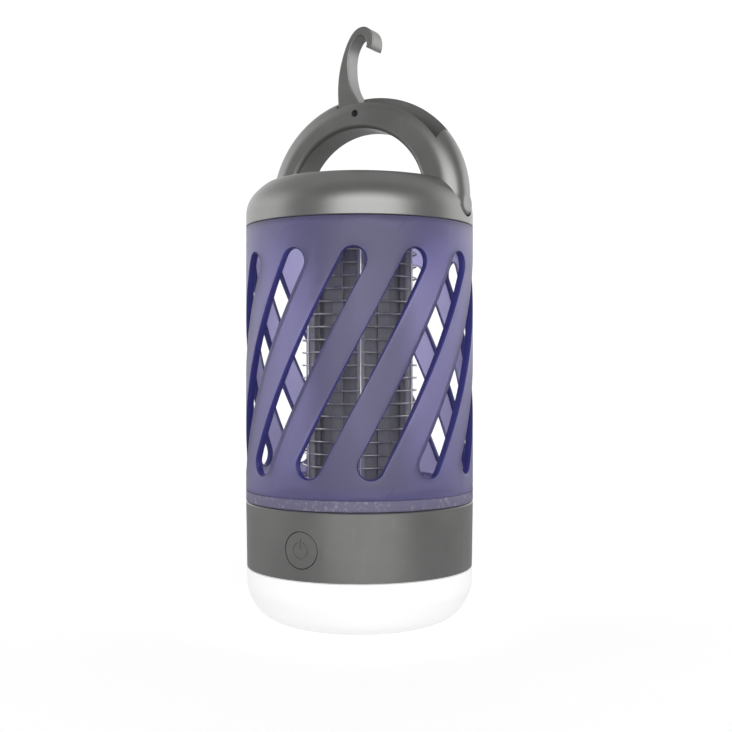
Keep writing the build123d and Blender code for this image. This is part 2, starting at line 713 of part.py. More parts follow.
# ---- high-voltage leads from the main board to the grid foot ----
def lead(side):
    """One insulated lead rising beside the cell."""
    with BuildPart() as wire:
        with BuildLine() as run:
            Spline((8 * side, -9.6, 28.8), (8 * side, -8.0, 34.0), (8 * side, -4.2, 40.5),
                   (8 * side, 0, 45.6), (8 * side, 0, 51.0), tangents=[(0, 0, 1), (0, 0, 1)])
        with BuildSketch(Plane(origin=run.line @ 0, z_dir=run.line % 0)):
            Circle(0.6)
        sweep(path=run.line)
    return wire.part


save(Compound(children=[lead(-1), lead(1)]), "grid_leads")
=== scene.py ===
"""Looks for the rechargeable bug zapper lantern: finishes, fine pieces, studio and camera."""

import json
import logging
from dataclasses import dataclass, field
from enum import Enum
from math import cos, pi, radians, sin, tan
from typing import Sequence

import bmesh
import bpy
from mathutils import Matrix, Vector

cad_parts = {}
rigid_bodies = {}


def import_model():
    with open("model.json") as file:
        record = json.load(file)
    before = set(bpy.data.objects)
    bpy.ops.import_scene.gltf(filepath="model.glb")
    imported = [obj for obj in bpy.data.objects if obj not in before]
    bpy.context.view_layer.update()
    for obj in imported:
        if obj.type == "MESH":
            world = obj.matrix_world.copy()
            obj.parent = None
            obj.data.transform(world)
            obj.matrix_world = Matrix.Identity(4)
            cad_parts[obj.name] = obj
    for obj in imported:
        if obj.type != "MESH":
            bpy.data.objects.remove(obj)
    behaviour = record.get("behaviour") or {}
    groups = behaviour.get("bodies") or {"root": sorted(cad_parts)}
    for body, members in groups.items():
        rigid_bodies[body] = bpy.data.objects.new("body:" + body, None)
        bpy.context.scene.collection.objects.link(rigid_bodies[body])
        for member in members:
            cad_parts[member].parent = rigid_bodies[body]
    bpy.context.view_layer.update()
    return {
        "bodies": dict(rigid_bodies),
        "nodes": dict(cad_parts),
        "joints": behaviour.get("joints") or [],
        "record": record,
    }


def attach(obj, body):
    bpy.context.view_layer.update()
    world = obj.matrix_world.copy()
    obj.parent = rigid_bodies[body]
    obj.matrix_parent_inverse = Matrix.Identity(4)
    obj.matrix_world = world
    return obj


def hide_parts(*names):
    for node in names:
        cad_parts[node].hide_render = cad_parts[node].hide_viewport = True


MM = 0.001
MIX_INPUTS, MIX_RESULT = (0, 6, 7), 2
LOG = logging.getLogger("lantern")
Colour = tuple[float, float, float]
Frame = dict[str, dict]
Socket, Node, Material = bpy.types.NodeSocket, bpy.types.Node, bpy.types.Material
Piece, Shell, Vert = bpy.types.Object, bmesh.types.BMesh, bmesh.types.BMVert


class Body(Enum):
    """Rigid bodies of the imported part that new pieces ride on."""

    BASE = "base"
    TOP = "cage_top"


# -------- node trees


class Graph:
    """Short-hand for filling a node tree."""

    def __init__(self, tree: bpy.types.NodeTree) -> None:
        """Keeps the node tree that new nodes go into."""
        self.tree = tree

    def node(self, kind: str, **values: object) -> Node:
        """Adds a node.

        Args:
            kind: Blender's identifier of the node type.
            values: attributes of the node; inputs are set with `put`.

        Returns:
            The new node.
        """
        made = self.tree.nodes.new(kind)
        for name, value in values.items():
            setattr(made, name, value)
        return made

    def feed(self, socket: Socket, value: object) -> None:
        """Links an input to an output socket, or sets it to a plain value.

        Args:
            socket: the input.
            value: an output socket, or the value.
        """
        if isinstance(value, Socket):
            self.tree.links.new(value, socket)
        else:
            socket.default_value = value

    def put(self, node: Node, **inputs: object) -> Node:
        """Sets or links inputs by name, with underscores for spaces.

        Args:
            node: the node to feed.
            inputs: a plain value, or an output socket to link.

        Returns:
            The same node.
        """
        for name, value in inputs.items():
            wanted = name.replace("_", " ")
            self.feed(next(s for s in node.inputs if s.name == wanted and s.enabled), value)
        return node

    def math(self, operation: str, first: object, second: object = 0.0) -> Socket:
        """Adds a Math node.

        Args:
            operation: the node's operation.
            first: first value or socket.
            second: second value or socket.

        Returns:
            The result's socket.
        """
        made = self.node("ShaderNodeMath", operation=operation)
        for socket, value in zip(made.inputs, (first, second)):
            self.feed(socket, value)
        return made.outputs[0]

    def span(self, value: Socket, low: float, high: float,
             to_low: float = 0.0, to_high: float = 1.0) -> Socket:
        """Maps a value's range from `low` and `high` to the other two, clamped."""
        made = self.put(self.node("ShaderNodeMapRange"), Value=value, From_Min=low, From_Max=high,
                        To_Min=to_low, To_Max=to_high)
        return made.outputs[0]

    def bump(self, strength: float, depth: float, height: Socket) -> Socket:
        """Adds a Bump node with its depth in metres, and returns the normal's socket."""
        return self.put(self.node("ShaderNodeBump"), Strength=strength, Distance=depth,
                        Height=height).outputs[0]

    def effect(self, group: bpy.types.NodeTree, **inputs: object) -> Node:
        """Places a shader node group, feeds it and returns its node."""
        return self.put(self.node("ShaderNodeGroup", node_tree=group), **inputs)

    def noise(self, where: Socket, scale: object, detail: float = 2.0,
              rough: float = 0.5) -> Socket:
        """Adds a Noise texture and returns its socket."""
        return self.put(self.node("ShaderNodeTexNoise"), Vector=where, Scale=scale,
                        Detail=detail, Roughness=rough).outputs[0]

    def blend(self, share: object, first: object, second: object) -> Socket:
        """Mixes two colours.

        Args:
            share: factor, 0 gives the first.
            first: colour or socket.
            second: colour or socket.

        Returns:
            The mixed colour's socket.
        """
        made = self.node("ShaderNodeMix", data_type="RGBA")
        for index, value in zip(MIX_INPUTS, (share, first, second)):
            self.feed(made.inputs[index], (*value, 1.0) if isinstance(value, tuple) else value)
        return made.outputs[MIX_RESULT]


TOOTH_SCALE, PIT_SCALE, MOTTLE_SCALE, SCUFF_SCALE = 2600.0, 1900.0, 38.0, 420.0
TOOTH_SHARE, PIT_SHARE = 0.6, 0.4
SCUFF_STRETCH, SCUFF_TURN = (1.0, 1.0, 0.16), (0.3, 0.2, 0.0)
MOTTLE_SPAN, SCUFF_SPAN = (0.3, 0.7), (0.62, 0.78)
LINE_SCALE, STREAK_SCALE, STREAK_SPAN = 1500.0, 180.0, (0.3, 0.7)


def start_group(name: str, dial: str, usual: float,
                *outs: str) -> tuple[Graph, Node, Node]:
    """Starts a shader node group with the input Vector and one more.

    Args:
        name: the group's name.
        dial: name of its float input.
        usual: that input's usual value.
        outs: names of its float outputs.

    Returns:
        The group's graph, its input node and its output node.
    """
    group = bpy.data.node_groups.new(name, "ShaderNodeTree")
    group.interface.new_socket("Vector", in_out="INPUT", socket_type="NodeSocketVector")
    made = group.interface.new_socket(dial, in_out="INPUT", socket_type="NodeSocketFloat")
    made.default_value = usual
    for out in outs:
        group.interface.new_socket(out, in_out="OUTPUT", socket_type="NodeSocketFloat")
    g = Graph(group)
    return g, g.node("NodeGroupInput"), g.node("NodeGroupOutput")


def grain_group() -> bpy.types.NodeTree:
    """Builds the moulded grain: fine tooth, soft mottle and faint scuffs.

    Returns:
        A group with inputs Vector and Size, and outputs Height, Mottle and Scuff.
    """
    name = "Moulded grain"
    if name in bpy.data.node_groups:
        return bpy.data.node_groups[name]
    g, given, result = start_group(name, "Size", 1.0, "Height", "Mottle", "Scuff")
    where, scale = given.outputs["Vector"], given.outputs["Size"]
    fine = g.noise(where, g.math("MULTIPLY", scale, TOOTH_SCALE), rough=0.55)
    pits = g.put(g.node("ShaderNodeTexVoronoi"), Vector=where,
                 Scale=g.math("MULTIPLY", scale, PIT_SCALE))
    soft = g.noise(where, g.math("MULTIPLY", scale, MOTTLE_SCALE), 4.0, 0.6)
    stretch = g.put(g.node("ShaderNodeMapping"), Vector=where, Scale=SCUFF_STRETCH,
                    Rotation=SCUFF_TURN)
    marks = g.noise(stretch.outputs[0], g.math("MULTIPLY", scale, SCUFF_SCALE), 3.0, 0.7)
    height = g.math("ADD", g.math("MULTIPLY", fine, TOOTH_SHARE),
                    g.math("MULTIPLY", pits.outputs["Distance"], PIT_SHARE))
    g.put(result, Height=height, Mottle=g.span(soft, *MOTTLE_SPAN),
          Scuff=g.span(marks, *SCUFF_SPAN))
    return g.tree


def brush_group() -> bpy.types.NodeTree:
    """Builds drawn or brushed metal: fine lines and wide streaks, stretched along Z.

    Returns:
        A group with inputs Vector and Along, and outputs Height and Streak.
    """
    name = "Drawn metal"
    if name in bpy.data.node_groups:
        return bpy.data.node_groups[name]
    g, given, result = start_group(name, "Along", 0.03, "Height", "Streak")
    split = g.put(g.node("ShaderNodeSeparateXYZ"), Vector=given.outputs["Vector"])
    join = g.put(g.node("ShaderNodeCombineXYZ"), X=split.outputs[0], Y=split.outputs[1],
                 Z=g.math("MULTIPLY", split.outputs[2], given.outputs["Along"]))
    wide = g.noise(join.outputs[0], STREAK_SCALE)
    g.put(result, Height=g.noise(join.outputs[0], LINE_SCALE, 3.0, 0.65),
          Streak=g.span(wide, *STREAK_SPAN))
    return g.tree


# -------- meshes


def place(name: str, mesh: bpy.types.Mesh, sharp: float = 38.0) -> Piece:
    """Puts a mesh into the scene at the origin, smooth except at sharp edges.

    Args:
        name: name of the piece.
        mesh: its mesh, already in place.
        sharp: edges that turn by more degrees than this stay sharp.

    Returns:
        The piece.
    """
    piece = bpy.data.objects.new(name, mesh)
    bpy.context.scene.collection.objects.link(piece)
    mesh.shade_smooth()
    mesh.set_sharp_from_angle(angle=radians(sharp))
    return piece


def report(piece: Piece, body: Body, slot: str, *nodes: str) -> None:
    """Ties a new piece to its body and slot, and logs it.

    Args:
        piece: the finished piece.
        body: the rigid body it moves with.
        slot: the record's material slot; not used.
        nodes: CAD nodes that it stands for.
    """
    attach(piece, body.value)
    if nodes:
        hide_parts(*nodes)
    LOG.info("made %s with %d faces for %s", piece.name, len(piece.data.polygons),
             ", ".join(nodes) or body.value)


# -------- geometry nodes


class Weave:
    """Short-hand for a geometry node tree that makes one repeated thing."""

    def __init__(self, name: str, sizes: dict[str, float]) -> None:
        """Makes the tree with one named float input for each size.

        Args:
            name: the tree's name.
            sizes: names and values of its inputs.
        """
        self.tree = bpy.data.node_groups.new(name, "GeometryNodeTree")
        self.g = Graph(self.tree)
        self.sizes = sizes
        self.tree.interface.new_socket("Geometry", in_out="OUTPUT",
                                       socket_type="NodeSocketGeometry")
        self.sockets = {}
        for key in sizes:
            made = self.tree.interface.new_socket(key, in_out="INPUT",
                                                  socket_type="NodeSocketFloat")
            self.sockets[key] = made.identifier
        self.given = self.g.node("NodeGroupInput")
        self.result = self.g.node("NodeGroupOutput")

    def size(self, name: str) -> Socket:
        """Returns the socket of a named size."""
        return self.given.outputs[name]

    def finish(self, geometry: Socket, finish: Material) -> None:
        """Realizes the instances, sets the finish and ends the tree.

        Args:
            geometry: what was made.
            finish: the material.
        """
        real = self.g.put(self.g.node("GeometryNodeRealizeInstances"), Geometry=geometry)
        dressed = self.g.put(self.g.node("GeometryNodeSetMaterial"),
                             Geometry=real.outputs[0])
        dressed.inputs["Material"].default_value = finish
        self.tree.links.new(dressed.outputs[0], self.result.inputs[0])

    def bake(self, name: str, finish: Material) -> Piece:
        """Evaluates the tree into a plain mesh at the origin.

        Args:
            name: name of the piece.
            finish: its material, kept in the first slot.

        Returns:
            The piece.
        """
        carrier = bpy.data.objects.new(name + "_maker", bpy.data.meshes.new(name + "_maker"))
        bpy.context.scene.collection.objects.link(carrier)
        maker = carrier.modifiers.new("make", "NODES")
        maker.node_group = self.tree
        for key, value in self.sizes.items():
            maker[self.sockets[key]] = value
        graph = bpy.context.evaluated_depsgraph_get()
        mesh = bpy.data.meshes.new_from_object(carrier.evaluated_get(graph))
        mesh.name = name
        carrier.modifiers.clear()
        bpy.data.objects.remove(carrier)
        mesh.materials.clear()
        mesh.materials.append(finish)
        for face in mesh.polygons:
            face.material_index = 0
        return place(name, mesh)


# -------- finishes


def start_material(name: str) -> tuple[Material, Graph, Node,
                                      Socket]:
    """Makes an empty material with a Principled shader and Object coordinates.

    Args:
        name: the material's name.

    Returns:
        The material, its graph, the shader node and the coordinates' socket.
    """
    made = bpy.data.materials.new(name)
    made.use_nodes = True
    made.node_tree.nodes.clear()
    g = Graph(made.node_tree)
    shader = g.node("ShaderNodeBsdfPrincipled")
    g.put(g.node("ShaderNodeOutputMaterial"), Surface=shader.outputs[0])
    return made, g, shader, g.node("ShaderNodeTexCoord").outputs["Object"]


@dataclass(frozen=True)
class Moulded:
    """Opaque moulded plastic with a fine grain."""

    name: str
    colour: Colour
    roughness: float = 0.42
    metallic: float = 0.0
    grain: float = 1.0
    bump: float = 0.12
    mottle: float = 0.08
    gloss_spread: tuple[float, float] = (-0.03, 0.04)
    scuff_share: float = 0.25
    scuff_lift: float = 1.35
    scuff_dulling: float = 0.05
    bump_depth: float = 0.00004

    def build(self) -> Material:
        """Builds the finish.

        Returns:
            The finished material.
        """
        made, g, shader, where = start_material(self.name)
        grain = g.effect(grain_group(), Vector=where, Size=self.grain)
        dark = tuple(c * (1.0 - self.mottle) for c in self.colour)
        light = tuple(min(1.0, c * (1.0 + self.mottle)) for c in self.colour)
        toned = g.blend(grain.outputs["Mottle"], dark, light)
        worn = g.blend(g.math("MULTIPLY", grain.outputs["Scuff"], self.scuff_share), toned,
                       tuple(min(1.0, c * self.scuff_lift + 0.01) for c in self.colour))
        low, high = (self.roughness + change for change in self.gloss_spread)
        rough = g.math("ADD", g.span(grain.outputs["Mottle"], 0.0, 1.0, low, high),
                       g.math("MULTIPLY", grain.outputs["Scuff"], self.scuff_dulling))
        g.put(shader, Base_Color=worn, Roughness=rough, Metallic=self.metallic,
              Normal=g.bump(self.bump, self.bump_depth, grain.outputs["Height"]))
        return made


@dataclass(frozen=True)
class Tinted:
    """Translucent coloured plastic, with lighter flecks painted in as glints where they are
    wanted.
    """

    name: str
    colour: Colour
    mottle_colour: Colour
    roughness: float = 0.32
    transmission: float = 0.8
    painted_glint: float = 0.0
    painted_glint_colour: Colour = (0.86, 0.83, 0.97)
    facet_scale: float = 520.0
    glint_fleck_scale: float = 640.0
    patch_scale: float = 120.0
    facet_span: tuple[float, ...] = (0.45, 0.75, 1.0, 0.0)
    glint_fleck_span: tuple[float, ...] = (0.42, 0.54)
    patch_span: tuple[float, ...] = (0.4, 0.56, 0.15, 1.0)
    refraction: float = 1.46
    grain: float = 0.7
    mottle_share: float = 0.35
    gloss_spread: tuple[float, float] = (-0.03, 0.05)
    bump: float = 0.1
    bump_depth: float = 0.00004

    def build(self) -> Material:
        """Builds the finish.

        Returns:
            The finished material.
        """
        made, g, shader, where = start_material(self.name)
        grain = g.effect(grain_group(), Vector=where, Size=self.grain)
        colour = g.blend(g.span(grain.outputs["Mottle"], 0.0, 1.0, 0.0, self.mottle_share),
                         self.colour, self.mottle_colour)
        low, high = (self.roughness + change for change in self.gloss_spread)
        rough = g.span(grain.outputs["Mottle"], 0.0, 1.0, low, high)
        # painted glints: pale flecks mixed into the colour stand in for the band's sparkle of
        # light
        if self.painted_glint:
            colour = g.blend(self._painted_glints(g, where), colour,
                             self.painted_glint_colour)
        g.put(shader, Base_Color=colour, Roughness=rough, IOR=self.refraction,
              Transmission_Weight=self.transmission,
              Normal=g.bump(self.bump, self.bump_depth, grain.outputs["Height"]))
        return made

    def _painted_glints(self, g: Graph, where: Socket) -> Socket:
        """Adds the nodes of the painted glints: broken lighter flecks in the colour.

        Args:
            g: the material's graph.
            where: the coordinates.

        Returns:
            The socket of the painted glints' mask.
        """
        facets = g.put(g.node("ShaderNodeTexVoronoi", distance="MANHATTAN"), Vector=where,
                       Scale=self.facet_scale)
        glint_flecks = g.noise(where, self.glint_fleck_scale, 3.0, 0.7)
        patch = g.noise(where, self.patch_scale)
        glint_spots = g.math("MULTIPLY", g.span(facets.outputs["Distance"], *self.facet_span),
                       g.span(glint_flecks, *self.glint_fleck_span))
        glint_spots = g.math("MULTIPLY", glint_spots, g.span(patch, *self.patch_span))
        return g.math("MULTIPLY", glint_spots, self.painted_glint)


@dataclass(frozen=True)
class Glowing:
    """Opal plastic or a lamp that gives light."""

    name: str
    colour: Colour
    light: Colour
    strength: float
    grain: float = 0.8
    dark_share: float = 0.97
    dim_share: float = 0.96
    gloss: tuple[float, float] = (0.3, 0.38)

    def build(self) -> Material:
        """Builds the finish.

        Returns:
            The finished material.
        """
        made, g, shader, where = start_material(self.name)
        mottle = g.effect(grain_group(), Vector=where,
                          Size=self.grain).outputs["Mottle"]
        colour = g.blend(mottle, self.colour, tuple(self.dark_share * c for c in self.colour))
        glow = g.blend(mottle, self.light, tuple(self.dim_share * c for c in self.light))
        rough = g.span(mottle, 0.0, 1.0, *self.gloss)
        g.put(shader, Base_Color=colour, Roughness=rough, Emission_Color=glow,
              Emission_Strength=self.strength)
        return made


@dataclass(frozen=True)
class Metal:
    """Drawn or brushed metal."""

    name: str
    colour: Colour
    roughness: float = 0.3
    along: float = 0.03
    bump: float = 0.15
    metallic: float = 1.0
    streak_shade: float = 0.86
    gloss_spread: tuple[float, float] = (0.06, -0.04)
    bump_depth: float = 0.00003

    def build(self) -> Material:
        """Builds the finish.

        Returns:
            The finished material.
        """
        made, g, shader, where = start_material(self.name)
        brush = g.effect(brush_group(), Vector=where, Along=self.along)
        colour = g.blend(brush.outputs["Streak"],
                         tuple(self.streak_shade * c for c in self.colour), self.colour)
        low, high = (self.roughness + change for change in self.gloss_spread)
        rough = g.span(brush.outputs["Streak"], 0.0, 1.0, low, high)
        g.put(shader, Base_Color=colour, Roughness=rough, Metallic=self.metallic,
              Normal=g.bump(self.bump, self.bump_depth, brush.outputs["Height"]))
        return made


@dataclass(frozen=True)
class Board:
    """Solder-masked circuit board with faint copper tracks."""

    name: str
    mask: Colour = (0.012, 0.11, 0.05)
    track: Colour = (0.03, 0.2, 0.09)
    track_scale: float = 260.0
    track_span: tuple[float, ...] = (0.03, 0.06, 1.0, 0.0)
    gloss: tuple[float, float] = (0.22, 0.34)
    bump: float = 0.3
    bump_depth: float = 0.00005

    def build(self) -> Material:
        """Builds the finish.

        Returns:
            The finished material.
        """
        made, g, shader, where = start_material(self.name)
        cells = g.put(g.node("ShaderNodeTexVoronoi", feature="DISTANCE_TO_EDGE"),
                      Vector=where, Scale=self.track_scale)
        lines = g.span(cells.outputs["Distance"], *self.track_span)
        colour = g.blend(lines, self.mask, self.track)
        grain = g.effect(grain_group(), Vector=where)
        rough = g.span(grain.outputs["Mottle"], 0.0, 1.0, *self.gloss)
        g.put(shader, Base_Color=colour, Roughness=rough,
              Normal=g.bump(self.bump, self.bump_depth, lines))
        return made


class Finishes:
    """All finishes of the lantern: the record's material slots, the painted shade of the cage's
    slot rims and the pin painted near-black as shade.
    """

    def __init__(self) -> None:
        """Builds every material once."""
        recipes = {
            "housing_grey": Moulded("Gunmetal satin", (0.285, 0.284, 0.28), 0.33, metallic=0.75),
            "cage_tint": Tinted("Smoke violet", (0.5, 0.47, 0.79), (0.58, 0.55, 0.85), 0.4,
                                0.84),
            # painted shade: the slot rims get a darker, deeper violet copy of the same plastic
            "cage_rim_shade": Tinted("Violet painted rim shade", (0.05, 0.048, 0.27), (0.09, 0.085, 0.36), 0.3,
                               0.35),
            # the tray's finish carries painted glints, pale flecks in its colour
            "tray_tint": Tinted("Lilac with painted glints", (0.42, 0.39, 0.62), (0.56, 0.53, 0.74), 0.42,
                                0.6, painted_glint=1.0),
            "diffuser_white": Glowing("Opal glow", (0.92, 0.92, 0.92), (1.0, 1.0, 1.0), 0.42),
            "grid_steel": Metal("Wire steel", (0.78, 0.77, 0.76), 0.28),
            "core_metal": Metal("Core metal", (0.24, 0.24, 0.25), 0.55, along=0.02, metallic=0.3),
            "post_plastic": Moulded("Post plastic", (0.36, 0.36, 0.37), 0.5, metallic=0.1),
            # near-black finish for the pin's ends and the ring round them: painted shade of the
            # pivot's recess
            "pin_shade": Moulded("Pin painted as shade", (0.012, 0.012, 0.013), 0.55, bump=0.2),
            "screw_steel": Metal("Screw steel", (0.55, 0.54, 0.52), 0.32, along=0.6),
            "board_green": Board("Circuit board"),
            "lamp_white": Glowing("Lamp white", (0.9, 0.85, 0.6), (1.0, 0.97, 0.9), 4.0),
            "lamp_violet": Glowing("Lamp violet", (0.4, 0.3, 0.8), (0.45, 0.35, 1.0), 6.0),
            "cell_wrap": Moulded("Cell sleeve", (0.04, 0.16, 0.36), 0.25, bump=0.04),
            "inner_plastic": Moulded("White plastic", (0.72, 0.72, 0.7), 0.4, mottle=0.04),
            "rubber_dark": Moulded("Dark rubber", (0.03, 0.03, 0.032), 0.62, grain=0.6, bump=0.3),
            "ferrite": Moulded("Ferrite", (0.05, 0.05, 0.055), 0.5, bump=0.3),
            "capacitor_film": Moulded("Capacitor dip", (0.3, 0.07, 0.03), 0.22, bump=0.03),
        }
        self.made = {slot: recipe.build() for slot, recipe in recipes.items()}

    def dress(self, piece: Piece, slot: str) -> None:
        """Gives a piece one finish all over, by the name of its slot."""
        piece.data.materials.clear()
        piece.data.materials.append(self.made[slot])


# -------- sub-assemblies


@dataclass
class Assembly:
    """Sub-assembly whose CAD nodes keep their shape and are dressed here."""

    looks: dict[str, str] = field(default_factory=dict)

    def dress(self, frame: Frame, finishes: Finishes) -> None:
        """Dresses the sub-assembly's CAD nodes.

        Args:
            frame: the loaded frame.
            finishes: the lantern's materials.
        """
        for node, finish in self.looks.items():
            finishes.dress(frame["nodes"][node], finish)
            LOG.info("dressed %s as %s", node, finish)

    def build(self, finishes: Finishes) -> None:
        """Builds the pieces that CAD doesn't have; there are none by default."""


@dataclass
class LightFoot(Assembly):
    """Opal diffuser with the white lamps and their board inside."""

    looks: dict[str, str] = field(default_factory=lambda: {
        "diffuser": "diffuser_white", "base_gasket": "rubber_dark", "lamp_board": "board_green",
        "lamp_leds": "lamp_white", "lamp_standoffs": "inner_plastic"})


@dataclass
class BaseHousing(Assembly):
    """Base ring with the deck, the lid, the cell and the electronics."""

    looks: dict[str, str] = field(default_factory=lambda: {
        "base_housing": "housing_grey", "base_deck": "inner_plastic",
        "base_lid": "inner_plastic", "deck_screws": "screw_steel", "battery_cell": "cell_wrap",
        "battery_cradle": "inner_plastic", "main_board": "board_green",
        "hv_transformer": "ferrite", "hv_capacitor": "capacitor_film"})


@dataclass
class PushButton(Assembly):
    """Round button with its engraved mark, and the switch behind it."""

    looks: dict[str, str] = field(default_factory=lambda: {
        "power_button": "housing_grey", "tact_switch": "ferrite"})


@dataclass
class ChargeInlet(Assembly):
    """Charging socket at the back under its rubber flap."""

    looks: dict[str, str] = field(default_factory=lambda: {
        "charge_socket": "screw_steel", "charge_board": "board_green",
        "port_flap": "rubber_dark"})


@dataclass
class CatchTray(Assembly):
    """Tray that catches what falls from the wires, seen as the band; its sparkle is painted in as
    glints.
    """

    looks: dict[str, str] = field(default_factory=lambda: {"catch_tray": "tray_tint"})


@dataclass
class HangingHook(Assembly):
    """Folding hook."""

    looks: dict[str, str] = field(default_factory=lambda: {"hook": "housing_grey"})


@dataclass
class CapAndHandle(Assembly):
    """Cap with its fixed handle, and the pin that the hook turns on."""

    # the hook pin is dressed near-black as painted shade of its recess
    looks: dict[str, str] = field(default_factory=lambda: {
        "cap": "housing_grey", "cap_plate": "inner_plastic", "cap_screws": "screw_steel",
        "handle": "housing_grey", "handle_screws": "screw_steel", "hook_pin": "pin_shade"})
    pin_x: float = -0.1
    pin_z: float = 196.1
    flank: float = -3.8
    shade_ring_bore: float = 0.97
    shade_ring_edge: float = 1.4
    shade_ring_proud: float = 0.05
    shade_ring_depth: float = 0.3
    shade_ring_steps: int = 40
    bore_bevel: tuple[float, float] = (0.03, 0.02)
    edge_bevel: tuple[float, float] = (0.06, 0.03)
    weld: float = 0.001
    foot_y: float = 4.35
    foot_z: float = 162.7
    foot_radius: float = 8.14
    foot_faces: tuple[float, float] = (-41.22, 43.98)
    foot_back: float = 6.0
    foot_rings: int = 14
    foot_turns: int = 32
    side_round: float = 7.5
    end_round: float = 2.2

    def build(self, finishes: Finishes) -> None:
        """Builds the near-black ring of painted shade round the pin's end and the fuller ends of
        the handle's feet.

        Args:
            finishes: the lantern's materials.
        """
        self._shade_ring(finishes)
        for face, name in zip(self.foot_faces, ("handle_foot_left", "handle_foot_right")):
            self._foot(face, name, finishes)

    def _foot(self, face: float, name: str, finishes: Finishes) -> None:
        """Builds one foot's outer end, rounded less towards its lowest point.

        Args:
            face: where the foot's outer face lies on X.
            name: the piece's name.
            finishes: the lantern's materials.
        """
        inward = -1.0 if face > 0 else 1.0
        rings, turns = self.foot_rings, self.foot_turns
        foot = bmesh.new()
        fronts, backs = [], []
        for j in range(turns + 1):
            turn = pi + pi * j / turns
            front_row, back_row = [], []
            for i in range(rings + 1):
                radius = self.foot_radius * sin(pi / 2 * i / rings)
                front = face + inward * self._foot_depth(radius, turn)
                back = face + inward * self.foot_back
                y = (self.foot_y + radius * cos(turn)) * MM
                z = (self.foot_z + radius * sin(turn)) * MM
                front_row.append(foot.verts.new((front * MM, y, z)))
                back_row.append(foot.verts.new((back * MM, y, z)))
            fronts.append(front_row)
            backs.append(back_row)
        for rows in (fronts, backs):
            for near, far in zip(rows, rows[1:]):
                for i in range(rings):
                    foot.faces.new((near[i], near[i + 1], far[i + 1], far[i]))
        for j in range(turns):
            foot.faces.new((fronts[j][-1], fronts[j + 1][-1], backs[j + 1][-1], backs[j][-1]))
        for j in (0, turns):
            for i in range(rings):
                foot.faces.new((fronts[j][i], fronts[j][i + 1], backs[j][i + 1], backs[j][i]))
        bmesh.ops.remove_doubles(foot, verts=foot.verts, dist=self.weld * MM)
        bmesh.ops.dissolve_degenerate(foot, edges=foot.edges, dist=self.weld / 2 * MM)
        bmesh.ops.recalc_face_normals(foot, faces=foot.faces)
        mesh = bpy.data.meshes.new(name)
        foot.to_mesh(mesh)
        foot.free()
        mesh.materials.append(finishes.made["housing_grey"])
        report(place(name, mesh), Body.TOP, "housing_grey")

    def _foot_depth(self, radius: float, turn: float) -> float:
        """Finds how far the foot's outer surface lies inside its face.

        Args:
            radius: distance from the foot's middle.
            turn: angle round it, where 3/4 of a turn points straight down.

        Returns:
            The depth, in millimetres.
        """
        low = -sin(turn)
        ease = low * low * (3 - 2 * low)
        edge = self.side_round + (self.end_round - self.side_round) * ease
        past = min(edge, max(0.0, radius - self.foot_radius + edge))
        return min(self.foot_back, edge - (edge * edge - past * past) ** 0.5)

    def _shade_ring(self, finishes: Finishes) -> None:
        """Builds the near-black ring round the pin's end, painted shade of the pivot's recess.

        Args:
            finishes: the lantern's materials.
        """
        face, deep = self.flank - self.shade_ring_proud, self.flank + self.shade_ring_depth
        bore, edge = self.shade_ring_bore, self.shade_ring_edge
        section = [(bore, deep), (bore, face + self.bore_bevel[1]),
                   (bore + self.bore_bevel[0], face), (edge - self.edge_bevel[0], face),
                   (edge, face + self.edge_bevel[1]), (edge, deep)]
        ring = bmesh.new()
        loops = []
        for radius, y in section:
            loop = []
            for i in range(self.shade_ring_steps):
                turn = 2 * pi * i / self.shade_ring_steps
                x, z = self.pin_x + radius * cos(turn), self.pin_z + radius * sin(turn)
                loop.append(ring.verts.new((x * MM, y * MM, z * MM)))
            loops.append(loop)
        for near, far in zip(loops, loops[1:] + loops[:1]):
            for i in range(self.shade_ring_steps):
                j = (i + 1) % self.shade_ring_steps
                ring.faces.new((near[i], far[i], far[j], near[j]))
        bmesh.ops.recalc_face_normals(ring, faces=ring.faces)
        mesh = bpy.data.meshes.new("pin_shade_ring")
        ring.to_mesh(mesh)
        ring.free()
        # painted shade: the ring takes the near-black pin finish
        mesh.materials.append(finishes.made["pin_shade"])
        report(place("pin_shade_ring", mesh), Body.TOP, "screw_steel")


